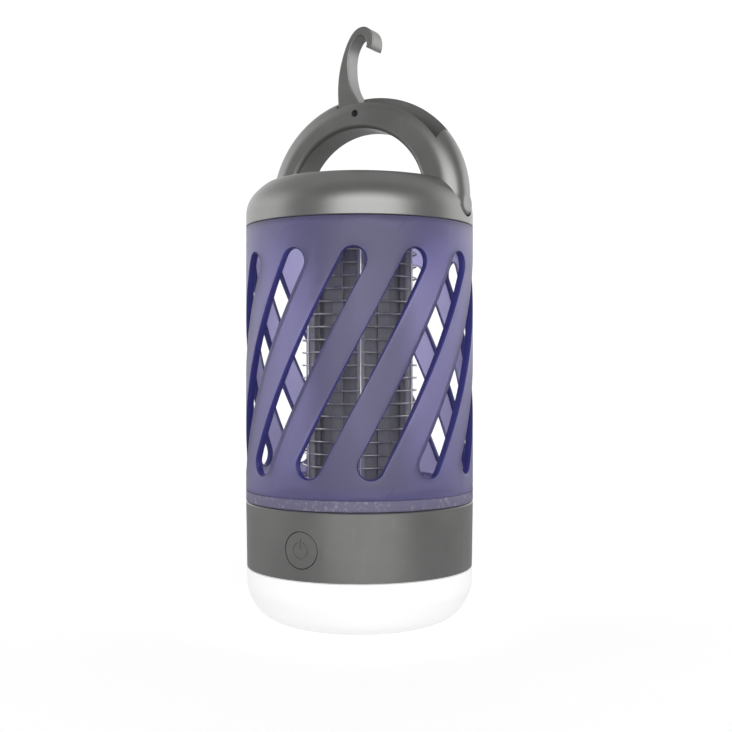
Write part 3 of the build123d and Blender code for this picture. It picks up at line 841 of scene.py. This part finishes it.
@dataclass
class SlottedCage(Assembly):
    """Translucent tube with twelve slanting slots, rounded at their rims."""

    radius: float = 44.0
    wall: float = 2.6
    foot: float = 50.72
    top: float = 151.6
    slots: int = 12
    slot_width: float = 9.4
    slot_foot: float = 58.0
    slot_top: float = 140.5
    lean: float = 28.5
    round_over: float = 0.4
    end_round: float = 0.12
    chamfer_share: float = 0.29
    flange: float = 32.0
    flange_thick: float = 1.6
    flange_inset: float = 0.1
    flange_lap: float = 0.05
    weld: float = 0.02
    sharp: float = 50.0
    side_steps: int = 26
    corner_steps: int = 3
    end_steps: int = 8
    rings: int = 4

    @property
    def middle(self) -> float:
        """Height of the slots' middle."""
        return (self.slot_foot + self.slot_top) / 2

    @property
    def reach(self) -> float:
        """Height of a slot's end centre above its middle."""
        return (self.slot_top - self.slot_foot - self.slot_width) / 2

    def slot_loop(self, grow: float) -> list[tuple[float, float]]:
        """Outline of one slot on the unrolled wall.

        Args:
            grow: how far the outline lies outside the slot's edge.

        Returns:
            Points as arc length and height from the slot's middle, anticlockwise from the
            foot of the right side.
        """
        lean = radians(self.lean)
        half = self.slot_width / 2 + grow
        shift = self.reach * tan(lean)
        right = []
        for i in range(self.side_steps):
            t = -1 + 2 * i / self.side_steps
            right.append((t * shift + half * cos(lean), t * self.reach - half * sin(lean)))
        turns = 2 * self.corner_steps + self.end_steps
        for i in range(turns):
            turn = -lean + pi * i / turns
            right.append((shift + half * cos(turn), self.reach + half * sin(turn)))
        return right + [(-s, -z) for s, z in right]

    def cell_loop(self) -> list[tuple[float, float]]:
        """Outline of one slot's share of the wall.

        Returns:
            Points as arc length and height from the slot's middle, one beside each point of
            `slot_loop`.
        """
        lean = radians(self.lean)
        half = pi * self.radius / self.slots
        up = self.top - self.end_round - self.middle
        down = self.middle - self.foot - self.end_round
        reach = self.reach

        def side(z: float, hand: int) -> tuple[float, float]:
            """Returns the point at one height of the cell's leaning side."""
            return (hand * half + z * tan(lean), z)

        def corner(i: int, end: float) -> float:
            """Returns a step's height between the slot's reach and the cell's end."""
            return reach + (end - reach) * i / self.corner_steps

        out = [side(-reach + 2 * reach * i / self.side_steps, 1) for i in range(self.side_steps)]
        out += [side(corner(i, up), 1) for i in range(self.corner_steps)]
        for i in range(self.end_steps):
            out.append((half + up * tan(lean) - 2 * half * i / self.end_steps, up))
        out += [side(corner(self.corner_steps - i, up), -1) for i in range(self.corner_steps)]
        out += [side(reach - 2 * reach * i / self.side_steps, -1) for i in range(self.side_steps)]
        out += [side(-corner(i, down), -1) for i in range(self.corner_steps)]
        for i in range(self.end_steps):
            out.append((-half - down * tan(lean) + 2 * half * i / self.end_steps, -down))
        out += [side(-corner(self.corner_steps - i, down), 1) for i in range(self.corner_steps)]
        return out

    def profile(self) -> list[tuple[float, float]]:
        """Section of a slot's rim, from the outer face to the inner one.

        Returns:
            Pairs of the slot's growth and the radius.
        """
        r, w, e = self.radius, self.wall, self.round_over
        edge = [(e, 0.0), (e * self.chamfer_share, e * self.chamfer_share), (0.0, e)]
        outer = [(grow, r - deep) for grow, deep in edge]
        inner = [(grow, r - w + deep) for grow, deep in reversed(edge)]
        return outer + inner

    def build(self, finishes: Finishes) -> None:
        """Builds the whole cage.

        Args:
            finishes: the lantern's materials.
        """
        shell = bmesh.new()
        cell = self.cell_loop()
        outer = self.slot_loop(self.round_over)
        count = len(cell)
        for k in range(self.slots):
            facing = -pi / 2 + 2 * pi * k / self.slots
            for radius, flip in ((self.radius, False), (self.radius - self.wall, True)):
                loops = []
                for ring in range(self.rings + 1):
                    t = ring / self.rings
                    loops.append([self._point(shell, (a[0] * (1 - t) + b[0] * t),
                                              (a[1] * (1 - t) + b[1] * t), facing, radius)
                                  for a, b in zip(outer, cell)])
                self._stitch(shell, loops, flip, 0, count)
            rim = [[self._point(shell, s, z, facing, radius) for s, z in self.slot_loop(grow)]
                   for grow, radius in self.profile()]
            # the rim faces take the second slot, the darker tint painted as shade
            self._stitch(shell, rim, True, 1, count)
        self._end_ring(shell, self.foot, False)
        self._end_ring(shell, self.top, True)
        bmesh.ops.remove_doubles(shell, verts=shell.verts, dist=self.weld * MM)
        bmesh.ops.recalc_face_normals(shell, faces=shell.faces)
        self._flange(shell)
        mesh = bpy.data.meshes.new("cage_shell")
        shell.to_mesh(mesh)
        shell.free()
        mesh.materials.append(finishes.made["cage_tint"])
        # second slot: the darker copy of the tint, painted shade on the slot rims
        mesh.materials.append(finishes.made["cage_rim_shade"])
        piece = place("cage_shell", mesh, self.sharp)
        report(piece, Body.TOP, "cage_tint", "cage")

    def _point(self, shell: Shell, s: float, z: float, facing: float,
               radius: float) -> Vert:
        """Adds a point of the unrolled wall, wrapped round the axis.

        Args:
            shell: the mesh under construction.
            s: arc length from the slot's middle.
            z: height above the slot's middle.
            facing: angle of the slot's middle round the axis.
            radius: distance from the axis.

        Returns:
            The new vertex.
        """
        turn = facing + s / self.radius
        return shell.verts.new((radius * cos(turn) * MM, radius * sin(turn) * MM,
                                (self.middle + z) * MM))

    @staticmethod
    def _stitch(shell: Shell, loops: Sequence[Sequence[Vert]],
                flip: bool, slot: int, count: int) -> None:
        """Joins closed loops of equal length with faces.

        Args:
            shell: the mesh under construction.
            loops: the loops in order.
            flip: whether the faces are turned over.
            slot: material slot of the faces.
            count: vertices in each loop.
        """
        for near, far in zip(loops, loops[1:]):
            for i in range(count):
                j = (i + 1) % count
                ring = [near[i], far[i], far[j], near[j]]
                face = shell.faces.new(ring[::-1] if flip else ring)
                face.material_index = slot

    def _end_ring(self, shell: Shell, height: float, upper: bool) -> None:
        """Closes the tube's end with a narrow chamfered ring.

        Args:
            shell: the mesh under construction.
            height: height of the end.
            upper: whether it is the upper end.
        """
        sign = 1 if upper else -1
        inside = height - sign * self.end_round
        edge = self.middle - inside
        half = pi * self.radius / self.slots
        lean = tan(radians(self.lean))
        steps = [(self.radius, inside), (self.radius - self.end_round, height),
                 (self.radius - self.wall + self.end_round, height),
                 (self.radius - self.wall, inside)]
        count = self.slots * self.end_steps
        start = -pi / 2 + (half - edge * lean) / self.radius
        loops = []
        for radius, z in steps:
            loops.append([shell.verts.new((radius * cos(start + 2 * pi * i / count) * MM,
                                           radius * sin(start + 2 * pi * i / count) * MM,
                                           z * MM)) for i in range(count)])
        self._stitch(shell, loops, not upper, 0, count)

    def _flange(self, shell: Shell) -> None:
        """Adds the inward flange that the cap is screwed to.

        Args:
            shell: the mesh under construction.
        """
        count = self.slots * self.end_steps
        outside = self.radius - self.wall + self.flange_lap
        low, high = self.top - self.flange_thick, self.top - self.flange_inset
        ring = [(outside, low), (outside, high), (self.flange, high), (self.flange, low)]
        loops = [[shell.verts.new((r * cos(2 * pi * i / count) * MM,
                                   r * sin(2 * pi * i / count) * MM, z * MM))
                  for i in range(count)] for r, z in ring]
        made = len(shell.faces)
        self._stitch(shell, loops + [loops[0]], True, 0, count)
        shell.faces.ensure_lookup_table()
        bmesh.ops.recalc_face_normals(shell, faces=shell.faces[made:])


@dataclass
class KillingGrid(Assembly):
    """Metal core and posts, with two sets of wire rings and upright wires round them."""

    looks: dict[str, str] = field(default_factory=lambda: {
        "grid_foot": "post_plastic", "grid_posts": "post_plastic", "grid_head": "post_plastic",
        "grid_core": "core_metal", "uv_board": "board_green", "uv_leds": "lamp_violet",
        "grid_leads": "rubber_dark"})
    ring_radius: float = 22.0
    wire: float = 0.34
    rings: int = 19
    pitch: float = 4.8
    first: float = 55.4
    upright_radius: float = 22.75
    upright_wire: float = 0.3
    foot: float = 52.2
    top: float = 144.8
    wobble: float = 0.22
    wobble_scale: float = 120.0
    ring_sides: int = 84
    wire_sides: int = 8
    uprights: int = 3
    ring_seed: int = 11
    wobble_seed: float = 3.0

    def _rings(self, work: Weave) -> Socket:
        """Adds the nodes that make one set of rings.

        Args:
            work: the tree under construction.

        Returns:
            The socket of the rings.
        """
        g = work.g
        ring = g.put(g.node("GeometryNodeCurvePrimitiveCircle"), Resolution=self.ring_sides,
                     Radius=work.size("Ring radius"))
        where = g.node("GeometryNodeInputPosition")
        uneven = g.put(g.node("ShaderNodeTexNoise", noise_dimensions="4D"),
                       Vector=where.outputs[0], W=work.size("Seed"), Scale=self.wobble_scale)
        lift = g.math("MULTIPLY", g.math("SUBTRACT", uneven.outputs[0], 0.5),
                      work.size("Wobble"))
        offset = g.put(g.node("ShaderNodeCombineXYZ"), Z=lift)
        bent = g.put(g.node("GeometryNodeSetPosition"), Geometry=ring.outputs[0],
                     Offset=offset.outputs[0])
        section = g.put(g.node("GeometryNodeCurvePrimitiveCircle"), Resolution=self.wire_sides,
                        Radius=work.size("Wire"))
        tube = g.node("GeometryNodeCurveToMesh")
        g.feed(tube.inputs[0], bent.outputs[0])
        g.feed(tube.inputs[1], section.outputs[0])
        step = g.put(g.node("ShaderNodeCombineXYZ"), Z=work.size("Pitch"))
        start = g.put(g.node("ShaderNodeCombineXYZ"), Z=work.size("First"))
        line = g.node("GeometryNodeMeshLine")
        g.feed(line.inputs["Count"], g.math("ROUND", work.size("Count")))
        g.feed(line.inputs["Start Location"], start.outputs[0])
        g.feed(line.inputs["Offset"], step.outputs[0])
        spin = g.node("FunctionNodeRandomValue", data_type="FLOAT_VECTOR")
        for key, value in ((0, (0.0, 0.0, 0.0)), (1, (0.0, 0.0, 2 * pi)),
                           ("Seed", self.ring_seed)):
            g.feed(spin.inputs[key], value)
        stood = g.put(g.node("GeometryNodeInstanceOnPoints"), Points=line.outputs[0],
                      Instance=tube.outputs[0])
        g.feed(stood.inputs["Rotation"], spin.outputs[0])
        return stood.outputs[0]

    def _uprights(self, work: Weave) -> Socket:
        """Adds the nodes that make the upright wires of one set.

        Args:
            work: the tree under construction.

        Returns:
            The socket of the upright wires.
        """
        g = work.g
        low = g.put(g.node("ShaderNodeCombineXYZ"), Z=work.size("Foot"))
        high = g.put(g.node("ShaderNodeCombineXYZ"), Z=work.size("Top"))
        line = g.put(g.node("GeometryNodeCurvePrimitiveLine"), Start=low.outputs[0],
                     End=high.outputs[0])
        section = g.put(g.node("GeometryNodeCurvePrimitiveCircle"), Resolution=self.wire_sides,
                        Radius=work.size("Upright wire"))
        tube = g.node("GeometryNodeCurveToMesh")
        g.feed(tube.inputs[0], line.outputs[0])
        g.feed(tube.inputs[1], section.outputs[0])
        tube.inputs["Fill Caps"].default_value = True
        circle = g.put(g.node("GeometryNodeMeshCircle"), Vertices=self.uprights,
                       Radius=work.size("Upright radius"))
        turn = g.put(g.node("ShaderNodeCombineXYZ"), Z=work.size("Turn"))
        turned = g.node("GeometryNodeTransform")
        g.feed(turned.inputs["Geometry"], circle.outputs[0])
        g.feed(turned.inputs["Rotation"], turn.outputs[0])
        stood = g.put(g.node("GeometryNodeInstanceOnPoints"), Points=turned.outputs[0],
                      Instance=tube.outputs[0])
        return stood.outputs[0]

    def build(self, finishes: Finishes) -> None:
        """Builds the live and the ground wires.

        Args:
            finishes: the lantern's materials.
        """
        for index, (name, node) in enumerate((("live_wires", "live_grid"),
                                              ("ground_wires", "ground_grid"))):
            work = Weave(name, {
                "Ring radius": self.ring_radius * MM, "Wire": self.wire * MM,
                "Pitch": 2 * self.pitch * MM, "First": (self.first + index * self.pitch) * MM,
                "Count": float((self.rings + 1 - index) // 2), "Wobble": 2 * self.wobble * MM,
                "Seed": self.wobble_seed + index, "Upright radius": self.upright_radius * MM,
                "Upright wire": self.upright_wire * MM, "Foot": self.foot * MM,
                "Top": self.top * MM, "Turn": radians(180.0 / self.uprights * index)})
            joined = work.g.node("GeometryNodeJoinGeometry")
            for part in (self._uprights(work), self._rings(work)):
                work.g.feed(joined.inputs[0], part)
            finish = finishes.made["grid_steel"]
            work.finish(joined.outputs[0], finish)
            piece = work.bake(name, finish)
            report(piece, Body.BASE, "grid_steel", node)


# -------- studio


@dataclass
class Studio:
    """Floor, soft surroundings and camera."""

    azimuth: float = 28.5
    distance: float = 448.8
    eye: float = 98.3
    aside: float = 2.5
    lens: float = 56.6
    floor: float = 4.0
    floor_lift: float = 0.66
    front_turn: float = 9.0
    front_light: float = 3.4
    gap_light: float = 0.28
    back_light: float = 2.0
    top_light: float = 0.3
    overhead: float = 0.15
    backdrop: float = 1.05
    floor_shade: float = 0.54
    floor_spread: float = 0.03
    floor_mottle: float = 6.0
    floor_rough: float = 0.8
    light_stops: tuple[float, ...] = (0.0, 0.45, 0.6, 0.85, 0.93, 1.0)
    back_fall: float = 0.7
    top_span: tuple[float, float] = (0.2, 0.95)
    fade_span: tuple[float, float] = (0.3, 0.75)
    sensor: float = 36.0
    clip: tuple[float, float] = (0.01, 20.0)
    bounces: int = 16
    tint_bounces: int = 14

    def lay_floor(self) -> None:
        """Makes the pale floor."""
        mesh = bpy.data.meshes.new("floor")
        side = self.floor
        mesh.from_pydata([(-side, -side, 0), (side, -side, 0), (side, side, 0), (-side, side, 0)],
                         [], [(0, 1, 2, 3)])
        floor = bpy.data.objects.new("floor", mesh)
        bpy.context.scene.collection.objects.link(floor)
        made, g, shader, where = start_material("Pale floor")
        soft = g.noise(where, self.floor_mottle)
        seen = g.node("ShaderNodeLightPath").outputs["Is Camera Ray"]
        darker = (self.floor_shade,) * 3
        lighter = (self.floor_shade + self.floor_spread,) * 3
        g.put(shader, Base_Color=g.blend(soft, darker, lighter),
              Roughness=self.floor_rough, Emission_Color=(1.0, 1.0, 1.0, 1.0),
              Emission_Strength=g.math("MULTIPLY", seen, self.floor_lift))
        floor.data.materials.append(made)

    def hang_surroundings(self) -> None:
        """Makes the white backdrop and its light: bright in front and behind, dim between."""
        world = bpy.data.worlds.new("Soft studio")
        bpy.context.scene.world = world
        world.use_nodes = True
        world.node_tree.nodes.clear()
        g = Graph(world.node_tree)
        coords = g.node("ShaderNodeTexCoord")
        turn = radians(self.azimuth + self.front_turn)
        front = (sin(turn), -cos(turn), 0.0)
        dot = g.node("ShaderNodeVectorMath", operation="DOT_PRODUCT")
        g.feed(dot.inputs[0], coords.outputs["Generated"])
        dot.inputs[1].default_value = front
        ramp = g.put(g.node("ShaderNodeValToRGB"), Fac=g.span(dot.outputs["Value"], -1.0, 1.0))
        values = (self.back_light * self.back_fall, self.back_light, self.gap_light,
                  self.gap_light, self.front_light, self.front_light)
        brightest = max(values)
        elements = ramp.color_ramp.elements
        while len(elements) < len(values):
            elements.new(0.5)
        for element, position, value in zip(elements, self.light_stops, values):
            element.position = position
            shade = value / brightest
            element.color = (shade, shade, shade, 1.0)
        split = g.put(g.node("ShaderNodeSeparateXYZ"), Vector=coords.outputs["Generated"])
        above = g.span(split.outputs[2], *self.top_span, 0.0, self.top_light)
        level = g.span(split.outputs[2], *self.fade_span, brightest, brightest * self.overhead)
        light = g.math("ADD", g.math("MULTIPLY", ramp.outputs[0], level), above)
        lit = g.put(g.node("ShaderNodeBackground"), Strength=light)
        seen = g.put(g.node("ShaderNodeBackground"), Color=(1.0, 1.0, 1.0, 1.0),
                     Strength=self.backdrop)
        path = g.node("ShaderNodeLightPath")
        pick = g.node("ShaderNodeMixShader")
        g.feed(pick.inputs[0], path.outputs["Is Camera Ray"])
        g.feed(pick.inputs[1], lit.outputs[0])
        g.feed(pick.inputs[2], seen.outputs[0])
        g.put(g.node("ShaderNodeOutputWorld"), Surface=pick.outputs[0])

    def stand_camera(self) -> None:
        """Stands the camera level at eye height and sets the colour handling."""
        data = bpy.data.cameras.new("camera")
        data.lens, data.sensor_width = self.lens, self.sensor
        data.clip_start, data.clip_end = self.clip
        camera = bpy.data.objects.new("camera", data)
        bpy.context.scene.collection.objects.link(camera)
        turn = radians(self.azimuth)
        away = Vector((sin(turn), -cos(turn), 0.0)) * self.distance
        right = Vector((cos(turn), sin(turn), 0.0)) * self.aside
        camera.location = (away + right + Vector((0, 0, self.eye))) * MM
        camera.rotation_euler = (pi / 2, 0.0, turn)
        scene = bpy.context.scene
        scene.camera = camera
        scene.view_settings.view_transform = "Standard"
        scene.view_settings.look = "None"
        scene.cycles.use_denoising = True
        scene.cycles.max_bounces = scene.cycles.transparent_max_bounces = self.bounces
        scene.cycles.transmission_bounces = self.tint_bounces


def main() -> None:
    """Builds the lantern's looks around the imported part."""
    logging.basicConfig(level=logging.INFO, format="%(name)s: %(message)s")
    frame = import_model()
    finishes = Finishes()
    assemblies = (LightFoot(), BaseHousing(), PushButton(), ChargeInlet(), KillingGrid(),
                  CatchTray(), SlottedCage(), CapAndHandle(), HangingHook())
    for assembly in assemblies:
        assembly.dress(frame, finishes)
        assembly.build(finishes)
    studio = Studio()
    studio.lay_floor()
    studio.hang_surroundings()
    studio.stand_camera()


if __name__ == "__main__":
    main()
